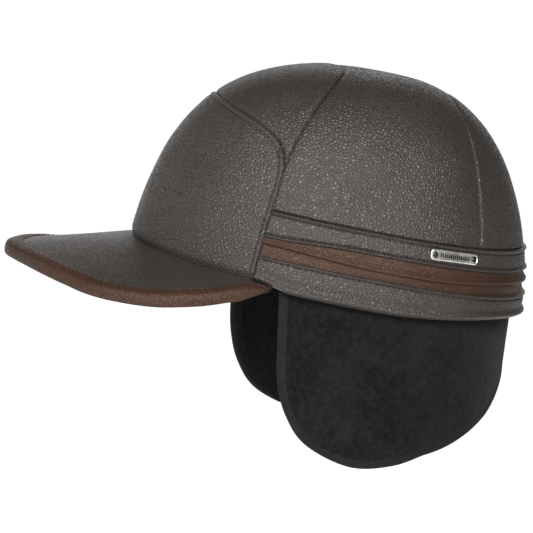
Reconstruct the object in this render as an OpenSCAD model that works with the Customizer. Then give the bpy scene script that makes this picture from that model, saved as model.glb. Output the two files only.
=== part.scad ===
// Winter cap in leather: four-panel crown with a shield front, a three-strip band with a badge,
// a bound and arched brim, and a soft ear and neck strip that folds up inside the crown.
// Millimetres. X is the wearer's left, Y is the back, Z is up. The origin is the centre of the
// head opening, in the plane of the band's lower edge.

/* [Crown] */
// Half width of the crown where it is widest
crown_half_width = 87.7; // [82:0.1:94]
// Length of the crown forward of its widest section
crown_front = 124.5; // [116:0.5:132]
// Length of the crown behind its widest section
crown_rear = 90.5; // [84:0.5:98]
// Height of the crown above the head opening
crown_height = 110.8; // [102:0.2:120]
// Thickness of the leather
leather = 1.5; // [1:0.1:2]

/* [Band] */
// Height of the band's top edge
band_top = 36.2; // [34:0.5:40]
// Height of the brown insert's top edge, at the side and the back
insert_top = 24.4; // [23:0.1:28]
// Height of the brown insert's lower edge
insert_low = 13; // [11:0.1:17]
// How far the ridge stands out
ridge_out = 1.6; // [0.6:0.1:2]
// How far the band's lower edge dips over the temples
temple_dip = 4.4; // [0:0.1:5]

/* [Badge] */
// Length of the badge plate
badge_length = 29.8; // [18:0.2:32]
// Height of the badge plate
badge_height = 5.6; // [4:0.1:8]
// Direction of the badge, from the wearer's left toward the back
badge_turn = 21.5; // [10:0.5:40]

/* [Brim] */
// Distance from the head opening's centre to the brim's tip
brim_reach = 172.5; // [165:0.5:185]
// Half width of the brim
brim_half_width = 85; // [80:0.5:92]
// How far the tip hangs below the head opening
brim_drop = 16.7; // [10:0.1:22]
// Width of the brown binding around the brim
binding_width = 8.5; // [6:0.5:14]

/* [Flaps] */
// Depth of the ear flaps below the head opening
flap_depth = 88.5; // [80:0.5:96]
// Depth of the neck guard at the centre back
neck_depth = 24; // [18:1:40]
// Thickness of each of the two fleece layers
fleece = 1.9; // [1.5:0.1:2.2]
// Width of the tape that binds the flaps' edge
tape_width = 4; // [3:0.5:6]

/* [Hidden] */

BLACK_LEATHER = [0.24, 0.22, 0.21];
BROWN_LEATHER = [0.38, 0.28, 0.24];
FLEECE_BLACK = [0.16, 0.16, 0.16];
TAPE_BLACK = [0.10, 0.10, 0.10];
SATIN = [0.20, 0.20, 0.22];

// The crown is a rounded superellipsoid about this centre. Its side profile is fuller at the
// front than at the back.
core = [0, 17, -27];
core_height = crown_height - core.z;
plan_power = 2.15;
side_power = 2.52;
power_lean = 0.26;

// Depths of the layers below the crown's outer surface, each layer's outer face before its inner
stiffener_out = 1.85;
stiffener_in = 2.7;
lining_out = 3.1;
lining_in = 3.9;
sweatband_out = 3;
sweatband_in = 4.2;
label_out = 4.6;
label_in = 5.1;
flap_out = 5.2;
// Thickness of the tape on the flaps' edge
tape = 0.5;

// Directions, in degrees from the wearer's left toward the back
seam_turn = 43.5;
flap_front = -37.5;
ear_rear_top = 36;
ear_rear_low = 22;
flap_top = 8;

function mix(a, b, t) = a + (b - a) * t;
function ramp(a, b, x) = let (t = min(1, max(0, (x - a) / (b - a)))) t * t * (3 - 2 * t);
function steps(n) = [for (i = [0:n]) i / n];
function flipped(v) = [-v.x, v.y, v.z];

// Point of a smooth curve through a list of points, t from 0 to 1
function along(points, t) =
    let (
        last = len(points) - 1,
        i = min(last - 1, floor(t * last)),
        f = t * last - i,
        b = points[i],
        c = points[i + 1],
        a = i > 0 ? points[i - 1] : 2 * b - c,
        d = i + 2 <= last ? points[i + 2] : 2 * c - b
    )
    (2 * b + (c - a) * f + (2 * a - 5 * b + 4 * c - d) * f * f
        + (3 * b - 3 * c + d - a) * f * f * f) / 2;

// Crown surface, each layer a depth below the outer one

function profile_power(q) =
    side_power - power_lean * q.y / max(0.001, norm([q.x, q.y]));

function plan_sum(q, depth) =
    pow(abs(q.x) / (crown_half_width - depth), plan_power)
    + pow(abs(q.y) / ((q.y < 0 ? crown_front : crown_rear) - depth), plan_power);

// The point of a layer that lies in the same direction from the core as p
function on_crown(p, depth) =
    let (
        q = p - core,
        k = profile_power(q),
        size = pow(plan_sum(q, depth), k / plan_power)
            + pow(abs(q.z) / (core_height - depth), k)
    )
    core + q / pow(size, 1 / k);

// The point of a layer in direction turn, at height z
function at_height(turn, z, depth) =
    let (
        d = [cos(turn), sin(turn), 0],
        k = profile_power(d),
        rise = pow(abs(z - core.z) / (core_height - depth), k),
        r = pow(1 - rise, 1 / k) / pow(plan_sum(d, depth), 1 / plan_power)
    )
    [r * d.x, core.y + r * d.y, z];

function climb(p) = let (q = p - core) atan2(q.z, norm([q.x, q.y]));

function toward(turn, rise) =
    core + 100 * [cos(turn) * cos(rise), sin(turn) * cos(rise), sin(rise)];

// Solids from lists of cross-sections. A section's points run along its outer side, then back
// along its inner side, with the same number on each.

function section_faces(count, size) =
    [for (j = [0:count - 2], i = [0:size - 1], k = [0, 1])
        let (
            a = j * size + i,
            b = j * size + (i + 1) % size,
            c = a + size,
            d = b + size
        )
        k == 0 ? [a, b, d] : [a, d, c]];

function cap_faces(base, size, turned) =
    let (half = size / 2)
    [for (i = [0:half - 2], k = [0, 1])
        let (
            a = base + i,
            b = base + i + 1,
            c = base + size - 2 - i,
            d = base + size - 1 - i,
            f = k == 0 ? [a, c, b] : [a, d, c]
        )
        turned ? [f[2], f[1], f[0]] : f];

module layer(sections) {
    size = len(sections[0]);
    count = len(sections);
    polyhedron(
        points = [for (s = sections) each s],
        faces = concat(
            section_faces(count, size),
            cap_faces(0, size, false),
            cap_faces((count - 1) * size, size, true)));
}

module ring_layer(sections) {
    size = len(sections[0]);
    count = len(sections);
    polyhedron(
        points = [for (s = sections) each s],
        faces = [for (f = section_faces(count + 1, size)) [for (i = f) i % (count * size)]]);
}

function reversed(list) = [for (i = [len(list) - 1:-1:0]) list[i]];

// One cross-section of a crown layer: points on the surface, taken to two depths
function crown_section(points, outer, inner) = concat(
    [for (p = points) on_crown(p, outer)],
    reversed([for (p = points) on_crown(p, inner)]));

// Seams of the crown

front_rise_top = 49;
front_corner_power = 8;
front_seam_height = [-1, 0.3];

// Height of the seam between the front panel and the brim
function brim_seam_z(turn) =
    mix(front_seam_height[0], front_seam_height[1],
        ramp(0, 1, 1 - abs(turn + 90) / (90 - seam_turn)));

// Point of the front panel: s runs from side to side, -1 to 1, and t from bottom to top
function front_point(s, t) =
    let (
        turn = -90 + (90 - seam_turn) * s,
        low = climb(at_height(turn, brim_seam_z(turn), 0))
    )
    toward(turn, mix(low, front_rise_top, t));

// How far a point of the square is drawn in, so that the square's corners come out round
function rounded(s, t) =
    let (m = max(abs(s), abs(t)))
    m == 0 ? 1
        : 1 / pow(pow(abs(s) / m, front_corner_power) + pow(abs(t) / m, front_corner_power),
            1 / front_corner_power);

// The front panel's edge: turn 0 is the centre top, and 90 is the lower end of its side
function front_edge(turn) =
    let (s = sin(turn), t = cos(turn), k = 1 / max(abs(s), abs(t)), f = rounded(s, t) * k)
    front_point(s * f, t * f);

// Where the seam over the top meets the front panel's corner
tip_turn = 49;
tip = on_crown(front_edge(tip_turn), 0);
// Centre tops of the two seams over the crown
front_seam_top = [0, -15, 110];
rear_seam_top = [0, 45, 106];
rear_foot_turn = 34;
rear_seam_foot = at_height(rear_foot_turn, band_top, 0);
// How the two seams bend on their way down
front_seam_bend = 2.2;
rear_seam_bend = 2;

function over_seam(w) =
    [tip.x * sin(90 * w),
        mix(tip.y, front_seam_top.y, pow(cos(90 * w), front_seam_bend)),
        mix(tip.z, front_seam_top.z, cos(90 * w))];

function back_seam(w) =
    [rear_seam_foot.x * sin(90 * w),
        mix(rear_seam_foot.y, rear_seam_top.y, pow(cos(90 * w), rear_seam_bend)),
        mix(rear_seam_foot.z, rear_seam_top.z, cos(90 * w))];

side_foot_turn = -seam_turn - 0.3;
side_foot = at_height(side_foot_turn, band_top, 0);

// The whole front edge of the piece that covers the sides and the top, w from -1 to 1
top_share = 0.62;
function side_front_edge(w) =
    let (
        a = abs(w),
        p = a < top_share
            ? over_seam(a / top_share)
            : along([tip, on_crown(mix(tip, side_foot, 0.5), 0), side_foot],
                (a - top_share) / (1 - top_share))
    )
    w < 0 ? flipped(p) : p;

// Patch with four edges, u from -1 to 1 and v from 0 to 1
function side_patch(u, v) =
    let (
        front = side_front_edge(u),
        rear = back_seam(u),
        foot_turn = mix(side_foot_turn, rear_foot_turn, v),
        foot = at_height(foot_turn, band_top, 0),
        share = (u + 1) / 2,
        ends = mix(flipped(foot), foot, share),
        corners = mix(
            mix(flipped(side_foot), side_foot, share),
            mix(flipped(rear_seam_foot), rear_seam_foot, share), v)
    )
    mix(front, rear, v) + ends - corners;

module front_panel() {
    color(BLACK_LEATHER)
    layer([for (u = steps(16))
        crown_section(
            [for (v = steps(10))
                let (s = 2 * u - 1, f = rounded(s, v) * 0.996)
                front_point(s * f, mix(0.008, 1, v * f))],
            0, leather)]);
}

module front_stiffener() {
    color("gainsboro")
    layer([for (u = steps(16))
        crown_section(
            [for (v = steps(10))
                let (s = 2 * u - 1, f = rounded(s, v) * 0.95)
                front_point(s * f, mix(0.03, 1, v * f))],
            stiffener_out, stiffener_in)]);
}

module upper_front_panel() {
    tip_trim = 0.975;
    color(BLACK_LEATHER)
    layer([for (u = steps(16))
        let (
            w = (2 * u - 1) * tip_trim,
            low = front_edge(tip_turn * w),
            high = over_seam(abs(w)),
            top = w < 0 ? flipped(high) : high
        )
        crown_section([for (v = [0.03, 0.35, 0.65, 0.97]) mix(on_crown(low, 0), top, v)],
            0, leather)]);
}

module top_side_panel() {
    color(BLACK_LEATHER)
    layer([for (u = steps(26))
        crown_section([for (v = steps(9)) side_patch(mix(-0.995, 0.995, u), mix(0.005, 0.99, v))],
            0, leather)]);
}

module back_panel() {
    foot_trim = 0.965;
    color(BLACK_LEATHER)
    layer([for (u = steps(16))
        let (
            w = (2 * u - 1) * foot_trim,
            low = at_height(90 - (90 - rear_foot_turn) * w, band_top + 0.2, 0),
            high = back_seam(abs(w)),
            top = w < 0 ? flipped(high) : high
        )
        crown_section([for (v = [0, 0.16, 0.34, 0.52, 0.7, 0.86, 0.975]) mix(low, top, v)],
            0, leather)]);
}

// Dome under the crown panels. Its grid is a square drawn out to a disc.
module crown_lining() {
    cells = 16;
    color(SATIN)
    layer([for (i = [0:cells])
        crown_section(
            [for (j = [0:cells])
                let (
                    x = 2 * i / cells - 1,
                    y = 2 * j / cells - 1,
                    reach = max(abs(x), abs(y)),
                    turn = reach == 0 ? 0 : atan2(y, x),
                    low = climb(at_height(turn, band_top - 2.5, 0))
                )
                toward(turn, mix(90, low, reach))],
            lining_out, lining_in)]);
}

// Band

insert_front_top = 21.8;
dip_start = 0.35;
function round_back(turn) = 90 - abs(turn - 90);
function dip(turn) =
    -temple_dip * (1 - ramp(-5, 55, round_back(turn)))
    * mix(dip_start, 1, ramp(-seam_turn, 14 - seam_turn, round_back(turn)));
function insert_edge(turn) =
    mix(insert_front_top, insert_top, ramp(-seam_turn, -seam_turn / 3, round_back(turn)));

// Strip around the sides and the back, from level to level. Its profile is a list of pairs:
// share of the strip's height, and how far it stands out.
function band_sections(low, high, profile, depth, cells = 40) =
    [for (u = steps(cells))
        let (
            turn = mix(-seam_turn + 0.3, 180 + seam_turn - 0.3, u),
            rows = [for (p = profile) [mix(low(turn), high(turn), p[0]), p[1]]]
        )
        concat(
            [for (r = rows) at_height(turn, r[0], -r[1])],
            reversed([for (r = rows) on_crown(at_height(turn, r[0], 0), depth)]))];

module band_lower_strip() {
    color(BLACK_LEATHER)
    layer(band_sections(
        function (turn) dip(turn), function (turn) insert_low - 0.1,
        [[0, 0.6], [0.12, 1.2], [0.3, 0.5], [0.7, 0.4], [1, 0]], leather));
}

module band_trim_strip() {
    ridge_low = 0.3;
    ridge_mid = 0.42;
    ridge_high = 0.54;
    color(BROWN_LEATHER)
    layer(band_sections(
        function (turn) insert_low, function (turn) insert_edge(turn) - 0.1,
        [[0, 0], [ridge_low, 0.3], [ridge_mid, ridge_out], [ridge_high, 0.3], [1, 0]], leather));
}

module band_upper_strip() {
    color(BLACK_LEATHER)
    layer(band_sections(
        function (turn) insert_edge(turn), function (turn) band_top - 0.1,
        [[0, 0], [0.5, 0.5], [1, 0]], leather));
}

// Levels between a band layer's lower and upper edge, shared by all layers
wall_low = 12;
wall_high = 24;

module band_interlining() {
    color("gainsboro")
    layer([for (u = steps(40))
        crown_section(
            let (turn = mix(0.6 - seam_turn, 179.4 + seam_turn, u))
            [for (z = [dip(turn) + 0.6, wall_low, wall_high, band_top - 0.6])
                at_height(turn, z, 0)],
            stiffener_out, stiffener_in)]);
}

module sweatband() {
    color("dimgray")
    ring_layer([for (i = [0:59])
        crown_section(
            [for (z = [0.5, wall_low, wall_high, band_top - 4]) at_height(6 * i, z, 0)],
            sweatband_out, sweatband_in)]);
}

module size_label() {
    half_turn = 8;
    color("silver")
    layer([for (u = steps(6))
        crown_section(
            [for (z = [wall_low + 0.5, wall_high - 0.5])
                at_height(mix(90 - half_turn, 90 + half_turn, u), z, 0)],
            label_out, label_in)]);
}

// Badge, bent to the band

badge_level = 30.5;
badge_bend = 88;
badge_thick = 0.9;
rivet_spread = badge_length / 2 - 2.6;
rivet_hole = 2;
rivet_stem = 1.6;
rivet_head = 2.9;

// The direction that the badge faces differs a little from its direction from the core
facing_back = -2.9;
facing_up = 12.2;
badge_out = 1;

module at_badge() {
    translate(at_height(badge_turn, badge_level, -badge_out))
    rotate([0, 0, badge_turn + facing_back])
    rotate([0, 90 - facing_up, 0])
    children();
}

module badge_plate() {
    straight = badge_length / 2 - badge_height / 2;
    color("silver")
    at_badge()
    difference() {
        intersection() {
            linear_extrude(8, center = true) union() {
                square([badge_height, 2 * straight], center = true);
                for (side = [-1, 1])
                    translate([0, side * straight]) circle(d = badge_height, $fn = 48);
            }
            translate([0, 0, -badge_bend]) rotate([0, 90, 0])
                difference() {
                    cylinder(h = 20, r = badge_bend + badge_thick, center = true, $fn = 96);
                    cylinder(h = 21, r = badge_bend, center = true, $fn = 96);
                }
        }
        for (side = [-1, 1])
            translate([0, side * rivet_spread, -4]) cylinder(h = 8, d = rivet_hole, $fn = 24);
    }
}

module badge_rivets() {
    color("gray")
    at_badge()
    for (side = [-1, 1])
        translate([0, side * rivet_spread, -0.9]) {
            cylinder(h = 1.8, d = rivet_stem, $fn = 24);
            translate([0, 0, 1.4]) cylinder(h = 0.5, d = rivet_head, $fn = 24);
        }
}

// Brim

// Outer edge of the brim, from the centre of its tip to its left end
brim_edge_points = [
    [0, -brim_reach, -brim_drop],
    [0.33 * brim_half_width, 9 - brim_reach, -brim_drop - 0.4],
    [0.62 * brim_half_width, 21.5 - brim_reach, -brim_drop - 1.7],
    [0.85 * brim_half_width, 38.5 - brim_reach, -brim_drop - 3.2],
    [0.98 * brim_half_width, 64.5 - brim_reach, -brim_drop - 1.6],
    [brim_half_width, 89.5 - brim_reach, 3.2 - brim_drop],
    [0.975 * brim_half_width, 104.5 - brim_reach, 7.4 - brim_drop],
    [0.91 * brim_half_width, 115.5 - brim_reach, 11.5 - brim_drop]];
brim_outline = [
    for (i = [len(brim_edge_points) - 1:-1:1]) flipped(brim_edge_points[i]),
    each brim_edge_points];

function brim_edge(w) = along(brim_outline, (w + 1) / 2);

// Inner edge of the brim, against the crown
brim_short_of_seam = 0.5;
brim_below_seam = 1;
function brim_root(w) =
    let (turn = -90 + (90 - seam_turn - brim_short_of_seam) * w)
    at_height(turn, brim_seam_z(turn) - brim_below_seam, leather);

// Point of the brim's top: w from side to side, -1 to 1, and v from the crown to the edge
function brim_point(w, v) = mix(brim_root(w), brim_edge(w), v);

// Shares of the edge at which the brim's pieces have a cross-section. The binding leaves out
// the first and the last.
bound_share = 0.985;
brim_cells = 28;
bound_rows = [for (u = steps(brim_cells)) bound_share * (2 * u - 1)];
brim_rows = [-1, each bound_rows, 1];

function brim_sections(top, bottom) =
    [for (w = brim_rows)
        let (
            near = 0.3 / norm(brim_edge(w) - brim_root(w)),
            row = [for (v = steps(8)) brim_point(w, mix(0, 1 - near, v))]
        )
        concat(
            [for (p = row) p - [0, 0, top]],
            reversed([for (p = row) p - [0, 0, bottom]]))];

brim_layers = [0, 1.1, 1.4, 3.3, 3.6, 4.7];

module brim_top_cover() {
    color(BLACK_LEATHER) layer(brim_sections(brim_layers[0], brim_layers[1]));
}

module brim_board() {
    color("gainsboro") layer(brim_sections(brim_layers[2], brim_layers[3]));
}

module brim_under_cover() {
    color(BLACK_LEATHER) layer(brim_sections(brim_layers[4], brim_layers[5]));
}

// Channel folded over the brim's edge
module brim_binding() {
    skin = 0.8;
    gap = 0.25;
    low = brim_layers[5];
    color(BROWN_LEATHER)
    layer([for (w = bound_rows)
        let (
            edge = brim_edge(w),
            width = norm(edge - brim_root(w)),
            reach = min(binding_width, 0.8 * width),
            inner = brim_point(w, 1 - reach / width),
            mid = brim_point(w, 1 - reach / width / 2),
            out = (edge - mid) / norm(edge - mid)
        )
        [inner + [0, 0, gap], mid + [0, 0, gap + skin], edge + [0, 0, gap + skin],
            edge + (gap + skin) * out - [0, 0, low / 2],
            edge - [0, 0, low + gap + skin], mid - [0, 0, low + gap + skin],
            inner - [0, 0, low + gap],
            inner - [0, 0, low + gap / 2], mid - [0, 0, low + gap], edge - [0, 0, low + gap],
            edge + gap * out - [0, 0, low / 2],
            edge + [0, 0, gap], mid + [0, 0, gap], inner + [0, 0, gap / 2]]]);
}

// Ear and neck strip, left side. Points are given as a direction and a height.

// It leans inward a little as it hangs, and sweeps to the back.
strip_lean = 0.03;
strip_sweep = 0.11;
function strip_point(a, depth) =
    let (drop = max(0, -a[1]))
    at_height(a[0], max(0, a[1]), depth + strip_lean * drop) + [0, strip_sweep * drop, -drop];

ear_edge_points = [
    [flap_front, flap_top], [-36.7, -12], [-36, -33], [-34.9, -53], [-31.2, -0.78 * flap_depth],
    [-23.5, -0.925 * flap_depth], [-7, -flap_depth], [9, -0.955 * flap_depth],
    [ear_rear_low, 12 - flap_depth]];

neck_edge_points = [
    [ear_rear_low, 12 - flap_depth], [30, -72.3], [38, -67], [46, -61], [54, -54.5],
    [62, -46.5], [71, -37.5], [80, mix(-neck_depth, -37.5, 0.4)], [90, -neck_depth]];

// Millimetres that one degree of direction is worth along the strip
degree = 1.42;
function inset(points, t, by) =
    let (
        p = along(points, t),
        e = 0.01,
        d = along(points, min(1, t + e)) - along(points, max(0, t - e)),
        n = [-d[1], d[0] * degree],
        m = n / norm([d[0] * degree, d[1]])
    )
    p + by * [m[0] / degree, m[1]];

corner_share = 0.52;

// Ear flap: u from its front edge to its rear edge, v from its top to its bottom
function ear_point(u, v, by) =
    let (
        front = inset(ear_edge_points, mix(0, corner_share, v), by),
        low = inset(ear_edge_points, mix(corner_share, 1, u), by),
        top_front = inset(ear_edge_points, 0, by),
        top_rear = [ear_rear_top, flap_top],
        top = mix(top_front, top_rear, u),
        low_rear = inset(ear_edge_points, 1, by),
        rear = mix(top_rear, low_rear, v),
        low_front = inset(ear_edge_points, corner_share, by)
    )
    mix(front, rear, u) + mix(top, low, v)
        - mix(mix(top_front, top_rear, u), mix(low_front, low_rear, u), v);

function neck_point(u, v, by) =
    let (
        low = inset(neck_edge_points, u, by),
        top = [mix(ear_rear_top, 90, u), flap_top]
    )
    [mix(top[0], low[0], v), mix(top[1], low[1], v)];

function strip_sections(rows, outer, inner) =
    [for (row = rows) concat(
        [for (a = row) strip_point(a, outer)],
        reversed([for (a = row) strip_point(a, inner)]))];

edge_gap = 0.55;
part_gap = 0.2;

module ear_layer(outer, inner) {
    color(FLEECE_BLACK)
    layer(strip_sections(
        [for (u = steps(12)) [for (v = steps(9))
            let (a = ear_point(u, v, edge_gap)) [a[0] - part_gap * u, a[1]]]],
        outer, inner));
}

module neck_layer(outer, inner) {
    color(FLEECE_BLACK)
    layer(strip_sections(
        [for (u = steps(12)) [for (v = steps(6))
            let (a = neck_point(u, v, edge_gap)) [a[0] + part_gap * (1 - 2 * u), a[1]]]],
        outer, inner));
}

// Tape folded over an edge of the strip, between two shares of that edge. Rows are pairs: distance
// from the edge, and depth below the strip's outer face.
tape_gap = 0.25;
module edge_tape(points, from, to, cells) {
    full = 2 * fleece + part_gap;
    outer_rows = [
        [tape_width, -tape_gap - tape / 2], [tape_width / 2, -tape_gap - tape], [0, -tape_gap - tape],
        [-tape, full / 2], [0, full + tape_gap + tape], [tape_width / 2, full + tape_gap + tape],
        [tape_width, full + tape_gap + tape / 2]];
    inner_rows = [
        [tape_width, -tape_gap], [tape_width / 2, -tape_gap], [tape_gap, -tape_gap],
        [tape_gap, full / 2], [tape_gap, full + tape_gap], [tape_width / 2, full + tape_gap],
        [tape_width, full + tape_gap]];
    function row_points(rows, t) =
        [for (r = rows) strip_point(inset(points, t, r[0]), flap_out + r[1])];
    color(TAPE_BLACK)
    layer([for (k = steps(cells))
        let (t = mix(from, to, k))
        concat(row_points(outer_rows, t), reversed(row_points(inner_rows, t)))]);
}

inner_start = flap_out + fleece + part_gap;

module left_flap_outer() {
    ear_layer(flap_out, flap_out + fleece);
}

module left_flap_inner() {
    ear_layer(inner_start, inner_start + fleece);
}

module left_flap_binding() {
    edge_tape(ear_edge_points, 0.06, 0.99, 26);
}

module left_neck_outer() {
    neck_layer(flap_out, flap_out + fleece);
}

module left_neck_inner() {
    neck_layer(inner_start, inner_start + fleece);
}

module left_neck_binding() {
    edge_tape(neck_edge_points, 0.01, 0.995, 14);
}

module right_flap_outer() {
    mirror([1, 0, 0]) left_flap_outer();
}

module right_flap_inner() {
    mirror([1, 0, 0]) left_flap_inner();
}

module right_flap_binding() {
    mirror([1, 0, 0]) left_flap_binding();
}

module right_neck_outer() {
    mirror([1, 0, 0]) left_neck_outer();
}

module right_neck_inner() {
    mirror([1, 0, 0]) left_neck_inner();
}

module right_neck_binding() {
    mirror([1, 0, 0]) left_neck_binding();
}

front_panel();
upper_front_panel();
top_side_panel();
back_panel();
band_upper_strip();
band_trim_strip();
band_lower_strip();
band_interlining();
front_stiffener();
crown_lining();
sweatband();
size_label();
brim_top_cover();
brim_board();
brim_under_cover();
brim_binding();
badge_plate();
badge_rivets();
left_flap_outer();
left_flap_inner();
left_flap_binding();
left_neck_outer();
left_neck_inner();
left_neck_binding();
right_flap_outer();
right_flap_inner();
right_flap_binding();
right_neck_outer();
right_neck_inner();
right_neck_binding();
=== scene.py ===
"""Winter cap in pebbled leather with a fleece ear and neck strip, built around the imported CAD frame."""

import math

import bpy
import numpy as np
from mathutils import Matrix, Vector, bvhtree, kdtree, noise


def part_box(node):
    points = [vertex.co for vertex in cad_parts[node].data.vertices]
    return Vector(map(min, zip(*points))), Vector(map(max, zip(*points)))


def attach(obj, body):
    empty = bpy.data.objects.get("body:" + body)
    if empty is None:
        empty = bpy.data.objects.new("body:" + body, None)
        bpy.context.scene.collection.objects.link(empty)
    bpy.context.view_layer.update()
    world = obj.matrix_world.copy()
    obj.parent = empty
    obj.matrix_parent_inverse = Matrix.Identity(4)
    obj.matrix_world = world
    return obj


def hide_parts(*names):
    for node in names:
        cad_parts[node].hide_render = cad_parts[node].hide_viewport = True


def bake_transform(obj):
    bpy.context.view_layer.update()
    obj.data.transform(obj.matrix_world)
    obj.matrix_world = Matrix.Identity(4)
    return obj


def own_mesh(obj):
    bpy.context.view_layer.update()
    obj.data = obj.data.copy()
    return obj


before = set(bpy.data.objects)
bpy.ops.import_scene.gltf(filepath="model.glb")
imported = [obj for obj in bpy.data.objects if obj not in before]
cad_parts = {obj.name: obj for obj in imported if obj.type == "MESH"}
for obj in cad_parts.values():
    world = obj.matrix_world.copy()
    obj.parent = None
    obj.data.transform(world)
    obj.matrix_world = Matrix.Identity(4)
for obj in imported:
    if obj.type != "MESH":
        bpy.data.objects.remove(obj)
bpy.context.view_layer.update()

MM = 0.001
UP = np.array((0.0, 0.0, 1.0))

# ---------------------------------------------------------------- crown surface

# The CAD's crown is a rounded superellipsoid about CORE. Its half axes are read off the frame.
CORE = np.array((0.0, 0.017, -0.027))
PLAN_POWER = 2.15
SIDE_POWER = 2.52
POWER_LEAN = 0.26
LEATHER = 1.5 * MM
SWEATBAND_DEPTH = 3.0 * MM
SWEATBAND_LOW = 0.5 * MM
PANEL_LOW = 0.8 * MM


def level_share(z, power, height):
    """How far out the crown reaches at height z, as a share of its widest section."""
    return (1 - (abs(z - CORE[2]) / height) ** power) ** (1 / power)


CROWN_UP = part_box("top_side_panel")[1].z - CORE[2]
sweat_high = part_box("sweatband")[1]
inner_up = CROWN_UP - SWEATBAND_DEPTH
CROWN_SIDE = sweat_high.x / level_share(SWEATBAND_LOW, SIDE_POWER, inner_up) + SWEATBAND_DEPTH
CROWN_BACK = (
    (sweat_high.y - CORE[1]) / level_share(SWEATBAND_LOW, SIDE_POWER - POWER_LEAN, inner_up)
    + SWEATBAND_DEPTH
)
CROWN_FRONT = (CORE[1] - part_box("front_panel")[0].y) / level_share(
    PANEL_LOW, SIDE_POWER + POWER_LEAN, CROWN_UP
)

BAND_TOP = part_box("band_upper_strip")[1].z
SEAM_TURN = 43.5


def mix(a, b, t):
    return a + (b - a) * t


def ramp(a, b, x):
    t = np.clip((np.asarray(x, float) - a) / (b - a), 0, 1)
    return t * t * (3 - 2 * t)


def bump(x, centre, width):
    return np.exp(-(((x - centre) / width) ** 2))


def unit(v):
    return v / np.maximum(np.linalg.norm(v, axis=-1, keepdims=True), 1e-12)


def profile_power(q):
    return SIDE_POWER - POWER_LEAN * q[..., 1] / np.maximum(1e-6, np.hypot(q[..., 0], q[..., 1]))


def plan_sum(q, depth):
    length = np.where(q[..., 1] < 0, CROWN_FRONT, CROWN_BACK) - depth
    across = np.abs(q[..., 0]) / (CROWN_SIDE - depth)
    return across**PLAN_POWER + (np.abs(q[..., 1]) / length) ** PLAN_POWER


def crown_size(q, depth=0.0):
    power = profile_power(q)
    total = plan_sum(q, depth) ** (power / PLAN_POWER)
    return (total + (np.abs(q[..., 2]) / (CROWN_UP - depth)) ** power) ** (1 / power)


def on_crown(p, depth=0.0):
    """The points of a crown layer that lie in the same direction from the core as p."""
    q = np.asarray(p, float) - CORE
    return CORE + q / crown_size(q, depth)[..., None]


def at_height(turn, z, depth=0.0):
    """Points of a crown layer by direction, in degrees from the wearer's left, and height."""
    turn, z = np.broadcast_arrays(np.asarray(turn, float), np.asarray(z, float))
    a = np.radians(turn)
    d = np.stack([np.cos(a), np.sin(a), 0 * a], -1)
    power = profile_power(d)
    rise = (np.abs(z - CORE[2]) / (CROWN_UP - depth)) ** power
    r = (1 - rise) ** (1 / power) / plan_sum(d, depth) ** (1 / PLAN_POWER)
    return np.stack([r * d[..., 0], CORE[1] + r * d[..., 1], z], -1)


def climb(p):
    q = p - CORE
    return np.degrees(np.arctan2(q[..., 2], np.hypot(q[..., 0], q[..., 1])))


def toward(turn, rise):
    a, b = np.radians(turn), np.radians(rise)
    return CORE + 0.1 * np.stack([np.cos(a) * np.cos(b), np.sin(a) * np.cos(b), np.sin(b)], -1)


def crown_normal(p):
    """Outward normals of the crown at points p."""
    q = np.asarray(p, float) - CORE
    step = 1e-5
    slope = [
        crown_size(q + step * np.eye(3)[k]) - crown_size(q - step * np.eye(3)[k]) for k in range(3)
    ]
    return unit(np.stack(slope, -1))


def along(points, t):
    """Points of a smooth curve through a list of points, t from 0 to 1."""
    points = np.asarray(points, float)
    t = np.clip(np.asarray(t, float), 0, 1)
    last = len(points) - 1
    i = np.minimum(last - 1, np.floor(t * last)).astype(int)
    f = (t * last - i)[..., None]
    b, c = points[i], points[i + 1]
    a = np.where((i > 0)[..., None], points[np.maximum(i - 1, 0)], 2 * b - c)
    d = np.where((i + 2 <= last)[..., None], points[np.minimum(i + 2, last)], 2 * c - b)
    return (
        2 * b
        + (c - a) * f
        + (2 * a - 5 * b + 4 * c - d) * f**2
        + (3 * b - 3 * c + d - a) * f**3
    ) / 2


def edge_dense(count, low=0.0, high=1.0, pull=0.8):
    """Steps from low to high that lie closer together near both ends."""
    t = np.linspace(0, 1, count)
    return mix(low, high, t - pull * np.sin(2 * np.pi * t) / (2 * np.pi))


# ---------------------------------------------------------------- meshes


def new_object(name, vertices, faces, material, smooth_angle=45):
    mesh = bpy.data.meshes.new(name)
    mesh.from_pydata(np.asarray(vertices).tolist(), [], faces)
    mesh.update()
    mesh.shade_smooth()
    mesh.set_sharp_from_angle(angle=math.radians(smooth_angle))
    obj = bpy.data.objects.new(name, mesh)
    bpy.context.scene.collection.objects.link(obj)
    mesh.materials.append(material)
    return obj


def grid_faces(rows, columns, base=0, closed=False, flip=False):
    faces = []
    for i in range(rows if closed else rows - 1):
        for j in range(columns - 1):
            a = base + i * columns + j
            b = base + (i + 1) % rows * columns + j
            face = (a, b, b + 1, a + 1)
            faces.append(face[::-1] if flip else face)
    return faces


def rim_faces(rows, columns, base, closed, flip):
    """Faces between the borders of two grids of the same size, the second starting at base."""
    side = [(i, 0) for i in range(rows)]
    loops = []
    if closed:
        loops.append([(i, 0) for i in range(rows)] + [(0, 0)])
        loops.append([(i, columns - 1) for i in range(rows - 1, -1, -1)] + [(rows - 1, columns - 1)])
    else:
        far = [(rows - 1, j) for j in range(1, columns)]
        back = [(i, columns - 1) for i in range(rows - 2, -1, -1)]
        home = [(0, j) for j in range(columns - 2, -1, -1)]
        loops.append(side + far + back + home)
    faces = []
    for loop in loops:
        for (i, j), (k, m) in zip(loop[:-1], loop[1:]):
            a, b = i * columns + j, k * columns + m
            face = (b, a, a + base, b + base)
            faces.append(face[::-1] if flip else face)
    return faces


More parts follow.
